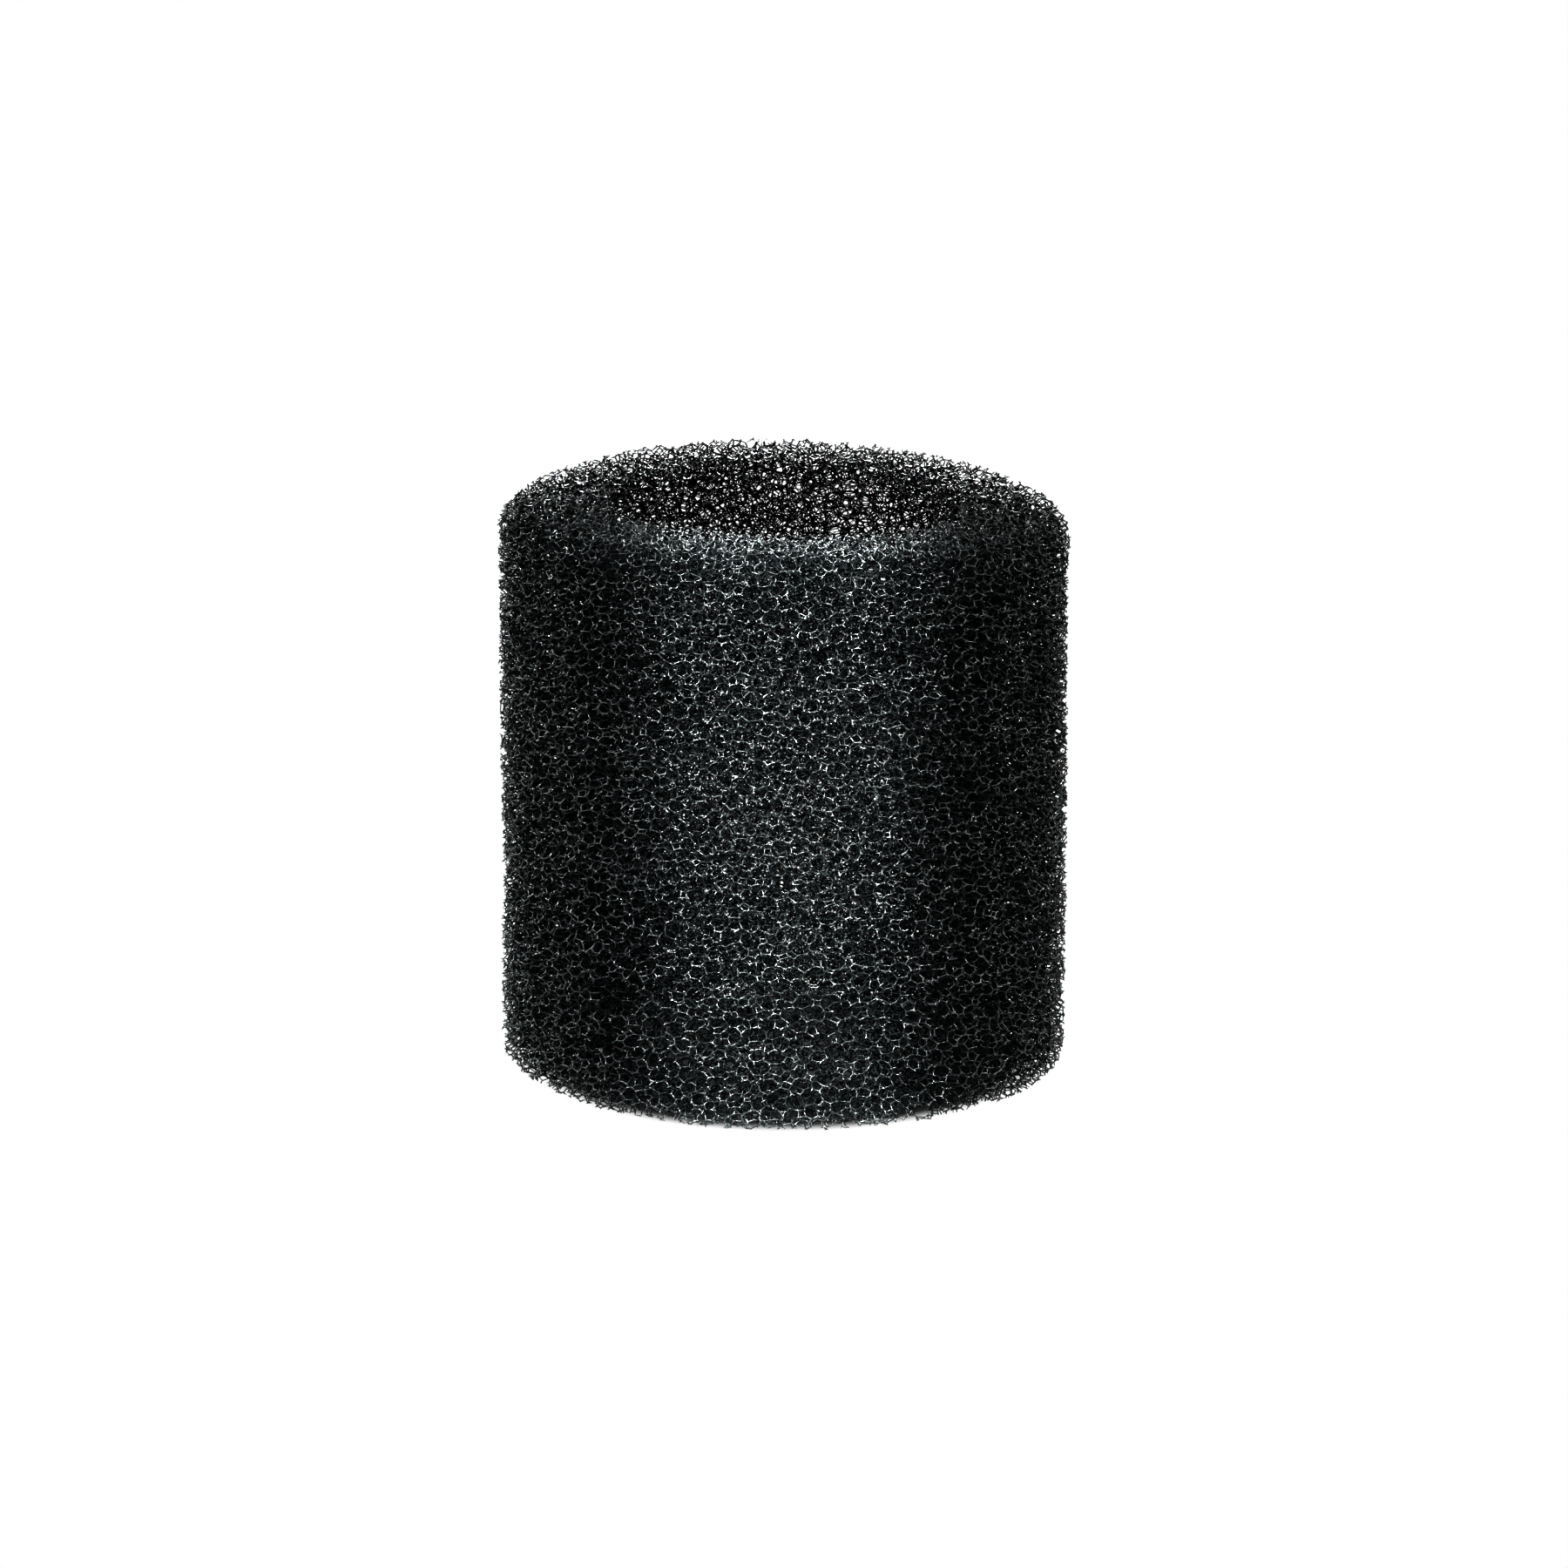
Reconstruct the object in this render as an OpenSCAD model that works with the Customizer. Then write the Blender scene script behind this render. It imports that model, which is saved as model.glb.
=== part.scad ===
// Sponge filter: a sleeve of open-cell foam with a bore right through it.
//
// The sleeve stands upright on its lower end face. The origin is at the centre
// of that face, and +Z runs up the axis of the bore. Sizes are in millimetres.

/* [Bore and wall] */
// Diameter of the bore that stretches over an intake strainer
bore_d = 46; // [20:1:80]
// Thickness of the foam between the bore and the outside
wall = 15; // [8:0.5:30]

/* [Length] */
// Height of the sleeve between its two end faces
height = 77; // [30:1:200]

/* [Edges] */
// Radius of the rounding round the outside of each end face
outer_edge_r = 2.3; // [0.5:0.1:3.5]
// Radius of the rounding at each mouth of the bore
bore_edge_r = 1; // [0.3:0.1:3]

/* [Hidden] */

// The bore's wall stands this far from the axis
bore_r = bore_d / 2;
// The outside stands one wall further out
outer_r = bore_r + wall;
// The end faces are flat between these two radii, where the roundings begin
flat_from_r = bore_r + bore_edge_r;
flat_to_r = outer_r - outer_edge_r;
// Both upright faces are built out from the middle of the wall
mid_r = bore_r + wall / 2;
// Facets of a full circle; the roundings and both walls are true circles
circle_facets = 96;

// Rectangle between two opposite corners, given as [radius, height]
module block_2d(low, high) {
    translate(low) square(high - low);
}

// Quarter round of one edge, drawn as a full circle tucked inside the wall
module edge_round_2d(r, centre) {
    translate(centre) circle(r = r, $fn = circle_facets);
}

// Half section of the sleeve: x is the distance from the axis, y is the height
module wall_section_2d() {
    block_2d([flat_from_r, 0], [flat_to_r, height]);
    block_2d([mid_r, outer_edge_r], [outer_r, height - outer_edge_r]);
    block_2d([bore_r, bore_edge_r], [mid_r, height - bore_edge_r]);
    for (end = [0, 1]) {
        outer_edge_y = end == 0 ? outer_edge_r : height - outer_edge_r;
        bore_edge_y = end == 0 ? bore_edge_r : height - bore_edge_r;
        edge_round_2d(outer_edge_r, [flat_to_r, outer_edge_y]);
        edge_round_2d(bore_edge_r, [flat_from_r, bore_edge_y]);
    }
}

// The foam sleeve: its section turned once round the axis
module foam_sleeve() {
    color([0.09, 0.10, 0.11])
        rotate_extrude($fn = circle_facets) wall_section_2d();
}

foam_sleeve();
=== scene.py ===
# %% [markdown]
# # A sponge filter, strut by strut
#
# The real object is a sleeve of coarse black open-cell foam that slides over a pump's intake. Such foam is a
# mesh of thin struts with nothing between them, so light and water pass through it. A smooth sleeve with a
# bumpy material would look solid at its edges and would never let light through its far wall. So this
# lesson grows the mesh for real: bubbles are packed, a strut is laid wherever three bubbles meet, and the
# block is cut to the sleeve's size.

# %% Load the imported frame
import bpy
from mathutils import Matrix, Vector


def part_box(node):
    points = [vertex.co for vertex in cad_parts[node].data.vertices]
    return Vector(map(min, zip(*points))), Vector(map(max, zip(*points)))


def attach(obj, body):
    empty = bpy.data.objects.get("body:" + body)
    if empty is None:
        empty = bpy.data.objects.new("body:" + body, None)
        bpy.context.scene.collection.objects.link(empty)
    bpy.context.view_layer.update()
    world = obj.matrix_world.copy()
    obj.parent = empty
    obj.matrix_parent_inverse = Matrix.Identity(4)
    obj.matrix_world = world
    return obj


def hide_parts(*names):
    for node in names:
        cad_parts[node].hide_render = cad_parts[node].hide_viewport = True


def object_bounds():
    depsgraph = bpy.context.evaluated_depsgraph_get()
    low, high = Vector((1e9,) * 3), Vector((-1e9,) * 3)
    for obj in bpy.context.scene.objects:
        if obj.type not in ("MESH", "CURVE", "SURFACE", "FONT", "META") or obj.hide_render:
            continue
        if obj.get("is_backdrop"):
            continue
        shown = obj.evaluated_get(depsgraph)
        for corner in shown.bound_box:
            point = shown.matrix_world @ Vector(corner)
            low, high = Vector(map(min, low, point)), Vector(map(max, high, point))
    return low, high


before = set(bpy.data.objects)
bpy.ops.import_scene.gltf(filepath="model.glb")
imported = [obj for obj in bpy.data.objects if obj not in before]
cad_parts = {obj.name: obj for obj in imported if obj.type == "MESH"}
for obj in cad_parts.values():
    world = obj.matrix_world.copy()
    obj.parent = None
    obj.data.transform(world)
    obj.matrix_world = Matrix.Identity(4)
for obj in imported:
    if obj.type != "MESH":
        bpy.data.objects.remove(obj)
cad_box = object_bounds()
print("frame loaded, nodes:", sorted(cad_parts))

# %% Tools and units
import math
import time

import bpy
import numpy as np
from mathutils import Vector
from mathutils.kdtree import KDTree

MM = 0.001
rng = np.random.default_rng(20)
started = time.time()

# %% [markdown]
# ## The sleeve's own sizes
#
# The real sleeve is cored out of a block with a hollow cutter and sawn to length. Its outside, height and
# bore could be typed in again, but they are read from the frame, so the foam always fits the part. The
# rounding at each edge is worked out from where the flat end face stops.

# %% Read the sleeve's sizes, in millimetres
sleeve_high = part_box("foam_sleeve")[1]
cad_points = np.array([v.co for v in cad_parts["foam_sleeve"].data.vertices]) / MM
cad_radius = np.hypot(cad_points[:, 0], cad_points[:, 1])
height = sleeve_high.z / MM
outer_r = sleeve_high.x / MM
bore_r = cad_radius.min()
level_within = 0.001  # mm
on_top = cad_points[:, 2] > height - level_within
outer_edge_r = outer_r - cad_radius[on_top].max()
bore_edge_r = cad_radius[on_top].min() - bore_r
print(f"outside {2 * outer_r:.1f}, bore {2 * bore_r:.1f}, height {height:.1f} mm, "
      f"edges {outer_edge_r:.2f} and {bore_edge_r:.2f} mm")


# %% Distance from a point to the sleeve's surface
def outside_sleeve(points, outer_edge_r=outer_edge_r):
    """Millimetres outside the rounded sleeve; negative inside it."""
    across = np.hypot(points[:, 0], points[:, 1]) - (outer_r + bore_r) / 2
    up = points[:, 2] - height / 2
    edge = np.where(across > 0, outer_edge_r, bore_edge_r)
    past_side = np.abs(across) - (outer_r - bore_r) / 2 + edge
    past_end = np.abs(up) - height / 2 + edge
    corner = np.hypot(np.maximum(past_side, 0), np.maximum(past_end, 0))
    return np.minimum(np.maximum(past_side, past_end), 0) + corner - edge


# %% [markdown]
# ## Bubbles
#
# The foam starts as bubbles that are packed at random. Coarse foam has small bubbles among large ones, and
# they are drawn out a little the way the foam rose, which is taken to be across this sleeve. They could be
# grown one by one in a simulation, but it is quicker to scatter points through a block a little larger than
# the sleeve, and to push each point away from the neighbours that are too near.
#
# Real foam is as fine in its core as at its surface. A mesh that fine all through would be too heavy, so
# here the bubbles grow larger towards the middle of the wall. That also lets more light through the wall
# than real foam would.

# %% Scatter the bubble centres
bubble_d = 2.2  # mm, a bubble's mean diameter
size_spread = 0.26  # how much bubbles differ, as a share of the mean
most_spread = 2  # no bubble differs by more than this many times that
core_size = 1.6  # how much larger bubbles are in the middle of the wall
fine_to = 3  # mm below the surface, down to which bubbles keep their size
coarse_from = 5.5  # mm below the surface
rise = np.array([1.12, 1.0, 0.9])  # bubbles are widest along X, and lower than they are wide
spacing = (math.pi / 6) ** (1 / 3) * bubble_d
margin = 1.7 * spacing  # the block is larger than the sleeve by this


def core_growth(points):
    """How much larger a bubble is at a point than at the surface."""
    share = np.clip((-outside_sleeve(points) - fine_to) / (coarse_from - fine_to), 0, 1)
    return 1 + (core_size - 1) * share


reach = np.array([outer_r + margin, outer_r + margin, height / 2 + margin])
count = int(np.prod(2 * reach) / spacing ** 3)
bubbles = (rng.random((count, 3)) * 2 - 1) * reach + [0, 0, height / 2]
bubbles = bubbles[outside_sleeve(bubbles) < margin]
bubbles = bubbles[rng.random(len(bubbles)) < core_growth(bubbles) ** -3]
largest_first = np.argsort(-core_growth(bubbles), kind="stable")
bubbles = bubbles[largest_first] / rise
own_size = 1 + size_spread * np.clip(rng.standard_normal(len(bubbles)), -most_spread, most_spread)
print(f"{len(bubbles)} bubbles, {spacing:.2f} mm apart at the surface")


# %% The nearest neighbours of every point
def neighbours(points, near):
    """For each point, the indices of its nearest neighbours, nearest first."""
    tree = KDTree(len(points))
    for i, point in enumerate(points):
        tree.insert(point, i)
    tree.balance()
    found = [[hit[1] for hit in tree.find_n(point, near + 1)] for point in points]
    return np.array(found)[:, 1:]


# %% Push the bubbles apart
push_steps = 10
pushers = 14  # neighbours that push on a bubble
push_gain = 0.27
packing = 1.05  # a little over 1, so that bubbles keep pushing until they are evenly packed
list_steps = 2  # steps after which the neighbours are found afresh
least_apart = 1e-6  # mm, which keeps two bubbles in one place from dividing by nothing

for step in range(push_steps):
    if step % list_steps == 0:
        near = neighbours(bubbles, pushers)
        bubble_size = own_size * core_growth(bubbles * rise)
    apart = bubbles[:, None] - bubbles[near]
    distance = np.linalg.norm(apart, axis=2)
    wanted = spacing * packing * (bubble_size[:, None] + bubble_size[near]) / 2
    push = push_gain * np.maximum(wanted - distance, 0) / np.maximum(distance, least_apart)
    bubbles = bubbles + (push[:, :, None] * apart).sum(1)
print(f"bubbles settled at {time.time() - started:.1f} s")

# %% [markdown]
# ## Where four bubbles meet
#
# A strut of foam runs where three bubbles meet, and struts join in fours where four bubbles meet. Four
# bubbles meet at a point if a sphere through their centres holds no other centre. That is the Delaunay
# rule. Blender has no operator for it in three dimensions, so it is tested here for every likely set of
# four near neighbours.


# %% Find every set of four bubbles that meet
batch = 1000  # points handled together, which bounds the memory used
first_tests = 8  # nearest neighbours tested first, because they rule out most sets
tiny = 1e-9


def meeting_fours(points, near, largest):
    """Sorted index sets of four points with an empty sphere through them, and those spheres' centres.

    The list largest holds each point's own limit on the radius of a sphere through it.
    """
    k = near.shape[1]
    first, second, third = np.array([(a, b, c) for a in range(k) for b in range(a + 1, k)
                                     for c in range(b + 1, k)]).T
    fours, centres = [], []
    for start in range(0, len(points), batch):
        own = np.arange(start, min(start + batch, len(points)))
        later = near[own] > own[:, None]
        who, which = np.nonzero(later[:, first] & later[:, second] & later[:, third])
        offset = points[near[own]] - points[own][:, None]
        a, b, c = (offset[who, part[which]] for part in (first, second, third))
        aa, bb, cc = ((v * v).sum(1)[:, None] for v in (a, b, c))
        bc = np.cross(b, c)
        volume = (a * bc).sum(1)
        volume = np.where(np.abs(volume) < tiny, tiny, volume)
        centre = (aa * bc + bb * np.cross(c, a) + cc * np.cross(a, b)) / (2 * volume[:, None])
        for part in (slice(0, first_tests), slice(first_tests, k)):
            small = (centre * centre).sum(1) < largest[own[who]] ** 2
            who, which, centre = who[small], which[small], centre[small]
            other = offset[who, part]
            inside = np.einsum("nkx,nx->nk", other, centre) > (other * other).sum(2) / 2 + tiny
            centre[inside.any(1)] = np.inf
        empty = np.isfinite(centre[:, 0])
        who, which, centre = who[empty], which[empty], centre[empty]
        rest = [near[own[who], part[which]] for part in (first, second, third)]
        fours.append(np.column_stack([own[who]] + rest))
        centres.append(centre + points[own[who]])
    return np.sort(np.concatenate(fours), axis=1), np.concatenate(centres)


candidates = 30  # neighbours tried; about 1 joint in 70 inside the sleeve still lacks a strut
widest_gap = 1.15  # the largest empty sphere that is tried, in spacings
largest_gap = widest_gap * spacing * core_growth(bubbles * rise)
fours, joints = meeting_fours(bubbles, neighbours(bubbles, candidates), largest_gap)
print(f"{len(fours)} joints, {len(fours) / len(bubbles):.2f} a bubble, at {time.time() - started:.1f} s")

# %% [markdown]
# ## Struts
#
# Two joints that share three bubbles are the two ends of one strut. They could be searched for one by
# one. Sorting all the shared threes is faster, because it brings the two ends of each strut side by side.


# %% Link each joint to the joints at the far ends of its four struts
def linked_joints(fours, bubble_count):
    """For each joint and side, the side of another joint that shares its three bubbles, or -1."""
    sides = [[1, 2, 3], [0, 2, 3], [0, 1, 3], [0, 1, 2]]
    three = np.stack([fours[:, s] for s in sides], axis=1).reshape(-1, 3).astype(np.int64)
    key = (three[:, 0] * bubble_count + three[:, 1]) * bubble_count + three[:, 2]
    order = np.argsort(key, kind="stable")
    same = np.nonzero(key[order][1:] == key[order][:-1])[0]
    one, other = order[same], order[same + 1]
    across = np.full(len(key), -1)
    across[one], across[other] = other, one
    return across.reshape(-1, 4)


across = linked_joints(fours, len(bubbles))
around = bubbles[fours]
handed = np.sign(np.einsum("ni,ni->n", around[:, 1] - around[:, 0],
                           np.cross(around[:, 2] - around[:, 0], around[:, 3] - around[:, 0])))
turn_of_side = handed[:, None] * np.array([1, -1, 1, -1])
print(f"{(across < 0).any(1).mean():.1%} of joints lack a strut, most of them outside the sleeve")

# %% Keep a link only if both ends agree on it
# A few sets share their three bubbles with more than one other set, or lie on the same side of them. Skin
# laid along such a strut would be left open or turned inside out.
linked_to = across.ravel()
turns = turn_of_side.ravel()
agreed = (linked_to >= 0) & (linked_to[linked_to] == np.arange(len(linked_to)))
agreed = agreed & (turns[linked_to] == -turns)
print(f"{((linked_to >= 0) & ~agreed).sum()} links dropped")
across = np.where(agreed, linked_to, -1).reshape(-1, 4)
partner = np.where(across >= 0, across // 4, -1)
whole = (partner >= 0).all(1)
joints = joints * rise

# %% [markdown]
# ## Surface tension
#
# Liquid foam pulls its struts straight and even before it sets. Each joint moves towards the middle of
# its four neighbours a few times, which opens cramped corners and rounds the windows. More steps would
# make every window alike, and real ones aren't.

# %% Even out the struts
tension_steps = 3
tension = 0.55
for step in range(tension_steps):
    pulled = joints[partner].mean(1)
    joints = np.where(whole[:, None], (1 - tension) * joints + tension * pulled, joints)

# %% [markdown]
# ## The cut
#
# Foam gives a little under the blade, so the real sleeve is slightly wavy and its ends are a little out of
# square. A boolean cut through hundreds of thousands of struts would be slow and could fail. Here each
# joint outside the cut is dropped, and a strut that crosses the cut keeps a short stub.

# %% How far a point lies outside the cut
end_tilt_top = 0.7  # mm, how far the upper cut drops from the middle to the +X side
end_tilt_base = 0.3  # mm, the same at the lower cut, which still rests on the floor
end_bow_top = 1.75  # mm, how far the upper cut drops at the +X and -X sides, where the blade bowed
end_rise_top = 0.75  # mm, how far the upper cut stands above the sleeve's height at its middle
extra_round = 1  # mm, the foam's outer edges are rounder than the plain sleeve's
cut_edge_r = outer_edge_r + extra_round
cut_wave = 0.12  # mm
waves = ((3, 7, 0), (5, -11, 1), (0, 5, 2))  # waves round the sleeve, mm of height a radian, start
trim = 0.28  # mm, the cut joints lie inside the sleeve's surface by this, and stubs fill the rest


def outside_cut(points):
    """Millimetres outside the cut foam; negative inside it."""
    x, y, z = points.T
    share_up = z / height
    level = z + x / outer_r * (end_tilt_base + (end_tilt_top - end_tilt_base) * share_up)
    level = level + ((x / outer_r) ** 2 * end_bow_top - end_rise_top) * share_up
    level = level - (end_tilt_base - trim) * (1 - share_up)
    angle = np.arctan2(y, x)
    wave = sum(np.sin(around_it * angle + z / climb + start) for around_it, climb, start in waves)
    return outside_sleeve(np.column_stack([x, y, level]), cut_edge_r) + cut_wave / len(waves) * wave + trim


# %% Keep the joints inside the cut, and drop what dangles
dangling_passes = 4
fewest_struts = 2  # a joint with fewer dangles


def largest_group(kept, partner):
    """The largest set of kept joints that whole struts tie together."""
    name = np.arange(len(kept))
    one, side = np.nonzero(kept[:, None] & (partner >= 0) & kept[partner])
    other = partner[one, side]
    while True:
        lower = name.copy()
        np.minimum.at(lower, one, name[other])
        lower = lower[lower]
        if (lower == name).all():
            break
        name = lower
    return kept & (name == np.bincount(name[kept]).argmax())


kept = outside_cut(joints) < 0
for step in range(dangling_passes):
    kept_struts = ((partner >= 0) & kept[partner]).sum(1)
    kept = kept & (kept_struts >= fewest_struts)
kept = largest_group(kept, partner)
print(f"{kept.sum()} joints inside the cut, at {time.time() - started:.1f} s")

# %% [markdown]
# ## Skin round the struts
#
# A real strut is three-sided, because three bubbles press on it. Round tubes would each need dozens of
# faces. Here four corners stand round each joint, one towards each of its four bubbles, so that three of
# them make a triangle across the root of every strut. Matching triangles at the two ends of a strut are
# joined by three faces, so joints need no faces of their own and the network is one closed skin.

# %% Corners of every joint
strut_r = 0.097  # mm, from a strut's middle to its edges
spread_out = math.sin(math.acos(-1 / 3))  # struts leave a joint towards the corners of a tetrahedron
others = np.array([[b for b in range(4) if b != a] for a in range(4)])

joint = np.nonzero(kept)[0]
number = np.full(len(joints), -1)
number[joint] = np.arange(len(joint))
there = partner[joint]
toward = np.where((there >= 0)[:, :, None], joints[there] - joints[joint][:, None], 0)
strut_length = np.linalg.norm(toward, axis=2)
toward = toward / np.maximum(strut_length, tiny)[:, :, None]
toward = np.where((there >= 0)[:, :, None], toward, -toward.sum(1)[:, None])
corners = (joints[joint][:, None] - strut_r / spread_out * toward).reshape(-1, 3)
turn = turn_of_side[joint]
print(f"{len(corners)} corners, mean strut {strut_length[there >= 0].mean():.2f} mm")


# %% A triangle across a strut's root, and the faces between two such triangles
def wound(ring, turn):
    """The ring, turned about where it would run clockwise."""
    return np.where(turn[:, None] > 0, ring, ring[:, ::-1])


def roots(who, side):
    """The three corners at the root of a strut, anticlockwise as seen from its far end."""
    return wound(4 * who[:, None] + others[side], turn[who, side])


def tube(ring, end):
    """Three four-sided faces from one ring to the other."""
    next_ring, next_end = np.roll(ring, -1, axis=1), np.roll(end, -1, axis=1)
    return np.stack([ring, next_ring, next_end, end], axis=2).reshape(-1, 4)


# %% Whole struts
far_kept = (there >= 0) & kept[there]
who, side = np.nonzero(far_kept & (number[there] > np.arange(len(joint))[:, None]))
far = number[there[who, side]]
far_side = across[joint[who], side] % 4
far_ring = wound(4 * far[:, None] + others[far_side], turn[who, side])
four_sided = [tube(roots(who, side), far_ring)]
print(f"{len(who)} whole struts")

# %% [markdown]
# ## Cut ends
#
# The blade leaves a stub on each strut that it cuts. A stub ends in a face that lies along the cut, unless
# the strut slants too much for that. The cut's place on each strut could be worked out exactly, but it is
# simpler to halve the strut again and again, and to keep the half that the cut crosses.

# %% Where each cut strut ends
stub = 0.4  # mm, a stub's mean length
cut_slack = 0.1  # mm, how far struts give before the blade parts them
stub_spread = (0.6, 1.4)  # the shortest and longest stub, as shares of the mean
shortest = 0.15  # mm
halvings = 8
least_facing = 0.4  # a stub that slants more than this keeps a steeper end face

who, side = np.nonzero((there >= 0) & ~kept[there])
root = joints[joint[who]]
along = toward[who, side]
reach_out = strut_length[who, side]
inner, outer = np.zeros(len(who)), np.ones(len(who))
slack = rng.normal(0, cut_slack, len(who))
for step in range(halvings):
    middle = (inner + outer) / 2
    still_in = outside_cut(root + (middle * reach_out)[:, None] * along) < slack
    inner, outer = np.where(still_in, middle, inner), np.where(still_in, outer, middle)
stub_length = np.maximum(inner * reach_out, shortest)
stub_length = np.minimum(stub_length, stub * rng.uniform(*stub_spread, len(who)))
end = root + stub_length[:, None] * along
print(f"{len(who)} cut struts, mean stub {stub_length.mean():.2f} mm")

# %% Slant each end face along the cut
probe = 0.05  # mm
slope = np.stack([outside_cut(end + probe * axis) for axis in np.eye(3)], axis=1)
normal = slope - outside_cut(end)[:, None]
normal = normal / np.linalg.norm(normal, axis=1)[:, None]
ring = roots(who, side)
facing = np.einsum("ni,ni->n", normal, along)
facing = np.where(np.abs(facing) < least_facing, least_facing, facing)
run = np.einsum("nri,ni->nr", end[:, None] - corners[ring], normal) / facing[:, None]
run = np.clip(run, probe, stub_length[:, None] + shortest)
end_points = corners[ring] + run[:, :, None] * along[:, None]
end_ring = len(corners) + np.arange(len(who) * 3).reshape(-1, 3)
four_sided.append(tube(ring, end_ring))
three_sided = [end_ring, roots(*np.nonzero(there < 0))]

# %% Sew the faces into one mesh
points = np.concatenate([corners, end_points.reshape(-1, 3)]) * MM
four_sided = np.concatenate(four_sided)
three_sided = np.concatenate(three_sided)
loops = np.concatenate([four_sided.ravel(), three_sided.ravel()])
starts = np.concatenate([np.arange(len(four_sided)) * 4,
                         four_sided.size + np.arange(len(three_sided)) * 3])
mesh = bpy.data.meshes.new("foam_struts")
mesh.vertices.add(len(points))
mesh.vertices.foreach_set("co", points.astype(np.float32).ravel())
mesh.loops.add(len(loops))
mesh.loops.foreach_set("vertex_index", loops.astype(np.int32))
mesh.polygons.add(len(starts))
mesh.polygons.foreach_set("loop_start", starts.astype(np.int32))
mesh.update(calc_edges=True)
mesh.shade_smooth()
foam = bpy.data.objects.new("foam_struts", mesh)
bpy.context.scene.collection.objects.link(foam)
print(f"{len(points)} points, {2 * len(four_sided) + len(three_sided)} triangles, "
      f"at {time.time() - started:.1f} s")

# %% [markdown]
# ## Marks for the material
#
# Three things are stored on the mesh. One marks the freshly cut ends, which are paler than the skin of a
# strut. One is each strut's depth below the cut. Deep struts are dark in real foam because little light
# gets to them. This mesh shades itself less, so its material paints that shade on, as a shine that fades
# with depth. The last is a flat map of the sleeve, the front half beside the back half, so that the looks
# can be put on one image.

# %% Mark the cut ends and the depth below the cut
cut_end = np.zeros(len(points), np.float32)
cut_end[len(corners):] = 1
mesh.attributes.new("cut_end", "FLOAT", "POINT").data.foreach_set("value", cut_end)
depth = np.maximum(-outside_cut(points / MM), 0).astype(np.float32)
mesh.attributes.new("depth", "FLOAT", "POINT").data.foreach_set("value", depth)
print(f"deepest strut {depth.max():.1f} mm below the cut")

# %% Map the front and back halves side by side
map_border = 0.01
map_wide = 0.48  # of the map, for each half of the sleeve
map_high = 0.98
map_back = 0.5  # how far across the map the back half starts
place = points[loops]
face_of_loop = np.repeat(np.arange(len(starts)), np.diff(np.append(starts, len(loops))))
face_depth = np.bincount(face_of_loop, place[:, 1]) / np.bincount(face_of_loop)
at_back = face_depth[face_of_loop] > 0
low = points.min(0)
size = points.max(0) - low
across_map = (place[:, 0] - low[0]) / size[0] * map_wide + map_border + map_back * at_back
up_map = (place[:, 2] - low[2]) / size[2] * map_high + map_border
flat_map = mesh.uv_layers.new(name="OFBake")
flat_map.data.foreach_set("uv", np.column_stack([across_map, up_map]).astype(np.float32).ravel())
print(f"{at_back.mean():.0%} of the map's corners are on the back half")

# %% [markdown]
# ## Black foam
#
# The foam is dyed through, near black with a cool cast, and its struts have a satin skin. One flat black
# would look like cut paper. Two soft noises in the foam's own space change it from place to place: one is
# as large as a few bubbles and varies the dye, the other is as large as a strut and varies the shine.

# %% The material's parts
dye_deep = (0.002, 0.0025, 0.0027, 1)
dye_thin = (0.005, 0.0058, 0.006, 1)
dye_cut = (0.02, 0.022, 0.023, 1)
under_roughness = (0.45, 0.75)  # of the foam under its skin
under_gloss = 0.02
skin_roughness = 0.38
skin_ior = 1.6
unshaded_to = 0.4  # mm below the cut, down to which struts keep their full shine, with no painted shade
painted_shade_from = 1.5  # mm below the cut, from where a painted shade leaves struts hardly any shine
# the share of shine that the painted shade leaves on the deepest struts
shine_under_painted_shade = 0.03
shine_spread = (0.75, 1.0)
dye_patch = 6 * MM
dye_detail = 3
shine_patch = 0.8 * MM
shine_detail = 1
noise_middle = (0.3, 0.7)  # most of a soft noise's values lie between these

foam_black = bpy.data.materials.new("foam_black")
foam_black.use_nodes = True
nodes, links = foam_black.node_tree.nodes, foam_black.node_tree.links
shader = nodes["Principled BSDF"]
place_node = nodes.new("ShaderNodeTexCoord")


def patches(patch_size, detail):
    """Soft noise in the foam's own space, its patches about as large as asked."""
    noise = nodes.new("ShaderNodeTexNoise")
    noise.inputs["Scale"].default_value = 1 / patch_size
    noise.inputs["Detail"].default_value = detail
    links.new(place_node.outputs["Object"], noise.inputs["Vector"])
    return noise.outputs["Fac"]


def blend(share, first, second):
    """A colour between two colours or sockets."""
    mix = nodes.new("ShaderNodeMix")
    mix.data_type = "RGBA"
    links.new(share, mix.inputs["Factor"])
    for socket, value in ((mix.inputs["A"], first), (mix.inputs["B"], second)):
        if isinstance(value, tuple):
            socket.default_value = value
        else:
            links.new(value, socket)
    return mix.outputs["Result"]


def remap(value, low, high):
    """The middle of a noise's range stretched from low to high."""
    node = nodes.new("ShaderNodeMapRange")
    node.inputs["From Min"].default_value, node.inputs["From Max"].default_value = noise_middle
    node.inputs["To Min"].default_value = low
    node.inputs["To Max"].default_value = high
    links.new(value, node.inputs["Value"])
    return node.outputs["Result"]


# %% Put the black foam together
cut_mark = nodes.new("ShaderNodeAttribute")
cut_mark.attribute_name = "cut_end"
depth_mark = nodes.new("ShaderNodeAttribute")
depth_mark.attribute_name = "depth"
# A painted shade: the coat's shine fades with the depth below the cut, darkening deep struts that little
# light would reach
painted_depth_shade = nodes.new("ShaderNodeMapRange")
painted_depth_shade.interpolation_type = "SMOOTHSTEP"
fade = (("From Min", unshaded_to), ("From Max", painted_shade_from), ("To Min", 1), ("To Max", shine_under_painted_shade))
for name, value in fade:
    painted_depth_shade.inputs[name].default_value = value
links.new(depth_mark.outputs["Fac"], painted_depth_shade.inputs["Value"])
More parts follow.
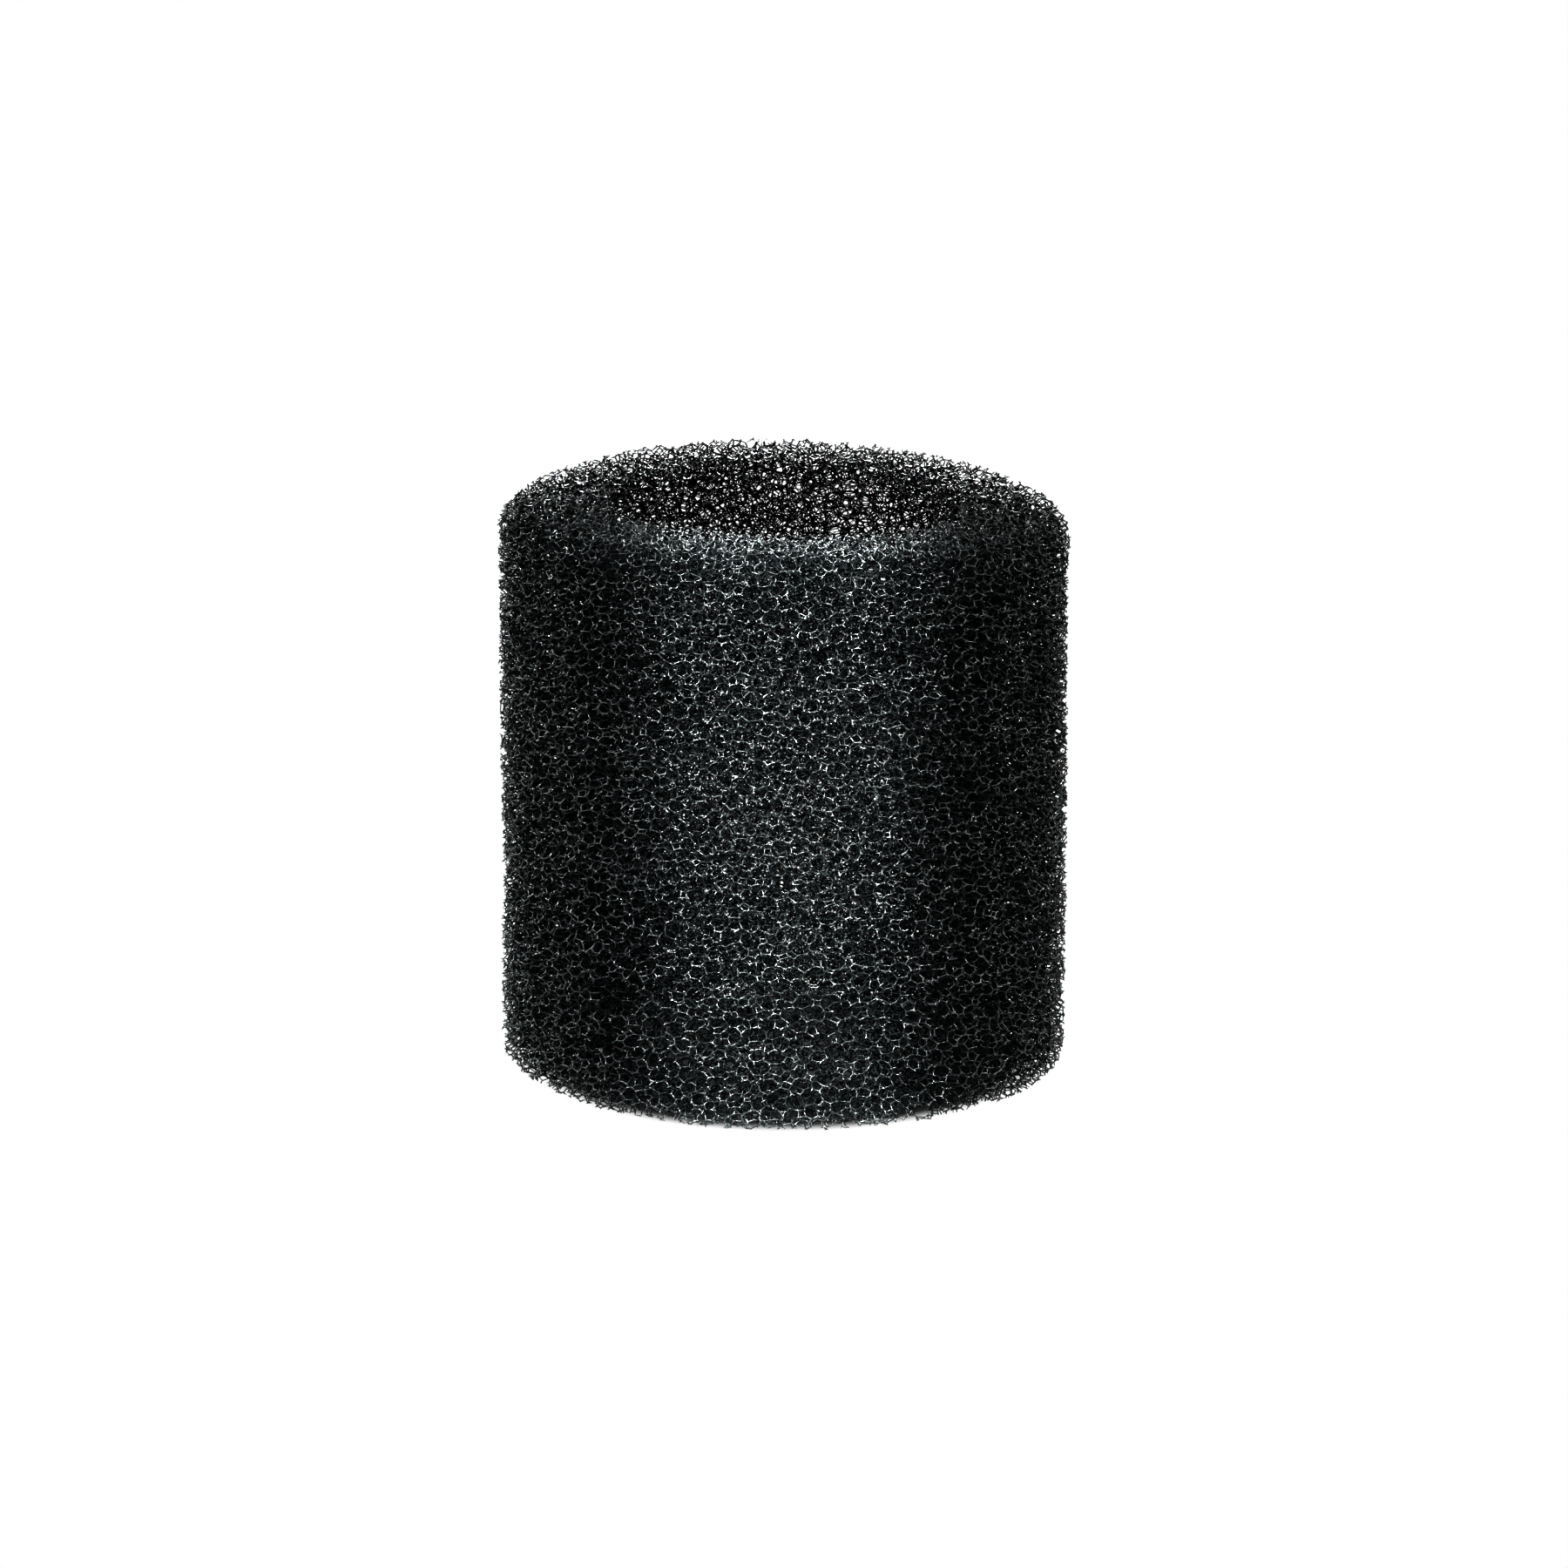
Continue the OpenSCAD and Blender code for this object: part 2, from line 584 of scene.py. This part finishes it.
# The satin skin's shine, varied by a soft noise and faded by the painted depth shade
skin_shine_with_painted_shade = nodes.new("ShaderNodeMath")
skin_shine_with_painted_shade.operation = "MULTIPLY"
links.new(painted_depth_shade.outputs["Result"], skin_shine_with_painted_shade.inputs[0])
links.new(remap(patches(shine_patch, shine_detail), *shine_spread), skin_shine_with_painted_shade.inputs[1])
links.new(skin_shine_with_painted_shade.outputs["Value"], shader.inputs["Coat Weight"])
dyed = blend(remap(patches(dye_patch, dye_detail), 0, 1), dye_deep, dye_thin)
links.new(blend(cut_mark.outputs["Fac"], dyed, dye_cut), shader.inputs["Base Color"])
links.new(remap(patches(shine_patch, shine_detail), *under_roughness), shader.inputs["Roughness"])
shader.inputs["Specular IOR Level"].default_value = under_gloss
shader.inputs["Coat Roughness"].default_value = skin_roughness
shader.inputs["Coat IOR"].default_value = skin_ior
mesh.materials.append(foam_black)
print("foam_black:", len(nodes), "nodes")

# %% Tie the foam to the part
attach(foam, "root")
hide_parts("foam_sleeve")

# %% [markdown]
# ## Studio
#
# Black foam shows its mesh best when little light reaches it from all round. So the floor and the backdrop
# are white to the eye, but for the light that they send back to the foam they are dim, as black cards would
# be beside it. A lamp could cast the shadow under the sleeve, but a floor that shines by itself takes no
# shadow, so it is painted there by distance from the middle.

# %% World and floor
scene = bpy.context.scene
scene.view_settings.view_transform = "Standard"
scene.view_settings.gamma = 0.62
fill_light = (0.011, 0.014, 0.0145, 1)
floor_bounce = (0.2, 0.2, 0.2, 1)
shade_under = 0.05  # the floor's brightness in the sleeve's contact shadow
shade_centre = 0.15  # and in the middle of the bore, where light comes in from above
contact_to = 34 * MM  # the radius at which the shadow ends, just inside the sleeve's lower edge
contact_soft = 4 * MM
floor_size = 6  # metres
floor_drop = 0.2 * MM  # so that no strut dips into the floor


def by_eye(tree, seen, unseen, surface):
    """Join two shaders: one that the camera sees, and one for all other light."""
    path = tree.nodes.new("ShaderNodeLightPath")
    mix = tree.nodes.new("ShaderNodeMixShader")
    tree.links.new(path.outputs["Is Camera Ray"], mix.inputs["Fac"])
    tree.links.new(unseen, mix.inputs[1])
    tree.links.new(seen, mix.inputs[2])
    tree.links.new(mix.outputs["Shader"], surface)


world = bpy.data.worlds.new("studio")
world.use_nodes = True
tree = world.node_tree
dim = tree.nodes["Background"]
dim.inputs["Color"].default_value = fill_light
white = tree.nodes.new("ShaderNodeBackground")
white.inputs["Color"].default_value = (1, 1, 1, 1)
by_eye(tree, white.outputs[0], dim.outputs[0], tree.nodes["World Output"].inputs["Surface"])
scene.world = world

# %% Floor
bpy.ops.object.select_all(action="DESELECT")
bpy.ops.mesh.primitive_plane_add(size=floor_size, location=(0, 0, -floor_drop))
floor = bpy.context.object
floor.name = "floor"
floor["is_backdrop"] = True
floor_white = bpy.data.materials.new("floor_white")
floor_white.use_nodes = True
tree = floor_white.node_tree
tree.nodes.remove(tree.nodes["Principled BSDF"])
dim = tree.nodes.new("ShaderNodeBsdfDiffuse")
dim.inputs["Color"].default_value = floor_bounce
white = tree.nodes.new("ShaderNodeEmission")
spot = tree.nodes.new("ShaderNodeTexCoord")
radius = tree.nodes.new("ShaderNodeVectorMath")
radius.operation = "LENGTH"
tree.links.new(spot.outputs["Object"], radius.inputs[0])
both = tree.nodes.new("ShaderNodeMath")
both.operation = "ADD"
across_bore = (0, bore_r * MM, shade_centre, shade_under)
past_sleeve = (contact_to - contact_soft, contact_to, 0, 1 - shade_under)
for socket, values in zip(both.inputs, (across_bore, past_sleeve)):
    shade = tree.nodes.new("ShaderNodeMapRange")
    shade.interpolation_type = "SMOOTHSTEP"
    for name, value in zip(("From Min", "From Max", "To Min", "To Max"), values):
        shade.inputs[name].default_value = value
    tree.links.new(radius.outputs["Value"], shade.inputs["Value"])
    tree.links.new(shade.outputs["Result"], socket)
tree.links.new(both.outputs["Value"], white.inputs["Strength"])
by_eye(tree, white.outputs[0], dim.outputs[0], tree.nodes["Material Output"].inputs["Surface"])
floor.data.materials.append(floor_white)

# %% [markdown]
# ## Camera
#
# The sleeve is seen from a little above, so that the bore and the far wall show. A short lens close by
# would spread its top and narrow its foot. A long lens from a metre away keeps its sides nearly upright.

# %% Camera
camera_up = math.radians(14.5)
lens = 180
sensor = 36
sleeves_across = 2.752  # how many sleeves would fit side by side across the view
view_width = sleeves_across * 2 * outer_r  # mm, what the camera takes in at the sleeve's middle
aim_above_middle = -0.65  # mm
distance = view_width * MM * lens / sensor
target = Vector((0, 0, (height / 2 + aim_above_middle) * MM))
toward_camera = Vector((0, -math.cos(camera_up), math.sin(camera_up)))
bpy.ops.object.camera_add(location=target + toward_camera * distance,
                          rotation=(math.pi / 2 - camera_up, 0, 0))
camera = bpy.context.object
camera.data.lens = lens
scene.camera = camera
print(f"camera {distance:.2f} m away")

# %% [markdown]
# ## Lamps
#
# A soft lamp would light deep struts and the inside of the bore, and the foam would turn grey. Each lamp
# here is narrow and shielded, as with barn doors, and a spread of a few degrees does what the doors would.
# Its beam covers one side of the sleeve from the lower edge to the top ring, and little of it gets into the
# bore. One lamp is the key, and the others shape the sides and fill the back.

# %% Shielded lamps
lamp_distance = 0.6  # metres
lamp_tint = (0.95, 1.0, 1.0)
band = 32 * MM
wide = 110 * MM
beam_spill = 12  # mm, how much taller a lamp is than what it lights


def shielded_lamp(name, from_side, elevation, faces, width, power, spread=3.5):
    """A lamp for one side of the sleeve and the top ring on that side, aimed to miss the bore.

    Angles are in degrees, and 0 is the camera's side.
    """
    rise_angle, side_angle, face_angle = (math.radians(v) for v in (elevation, from_side, faces))
    out = Vector((math.sin(side_angle), -math.cos(side_angle), 0))
    face = Vector((math.sin(face_angle), -math.cos(face_angle), 0))
    lean = out.dot(face) * math.sin(rise_angle)
    beam_low = -outer_r * lean
    beam_high = -bore_r * lean + height * math.cos(rise_angle)
    aim_z = ((beam_low + beam_high) / 2 + outer_r * lean) / math.cos(rise_angle)
    aim = face * outer_r * MM + Vector((0, 0, aim_z * MM))
    back = out * math.cos(rise_angle) + Vector((0, 0, math.sin(rise_angle)))
    bpy.ops.object.light_add(type="AREA", location=aim + back * lamp_distance,
                             rotation=back.to_track_quat("Z", "Y").to_euler())
    lamp = bpy.context.object
    lamp.name = name
    lamp.data.shape = "RECTANGLE"
    lamp.data.size = width
    lamp.data.size_y = (beam_high - beam_low + beam_spill) * MM
    lamp.data.spread = math.radians(spread)
    lamp.data.energy = power
    lamp.data.color = lamp_tint
    lamp.visible_camera = False


shielded_lamp("key", 0, 58, 0, band, 0.13, spread=2)
shielded_lamp("key_left", -35, 28, 0, band, 0.07, spread=2)
shielded_lamp("key_right", 35, 28, 0, band, 0.062, spread=2)
shielded_lamp("left", -60, 50, -60, band, 0.052, spread=2)
shielded_lamp("right", 60, 50, 60, band, 0.03, spread=2)
shielded_lamp("front_fill", 0, 50, 0, wide, 0.03)
shielded_lamp("left_fill", -120, 35, -120, wide, 0.028)
shielded_lamp("right_fill", 120, 35, 120, wide, 0.02)
shielded_lamp("back_fill", 180, 40, 180, wide, 0.42)

# %% Write the sizes and finish
visual_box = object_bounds()
print("cad box", cad_box, "visual box", visual_box, f"made in {time.time() - started:.1f} s")
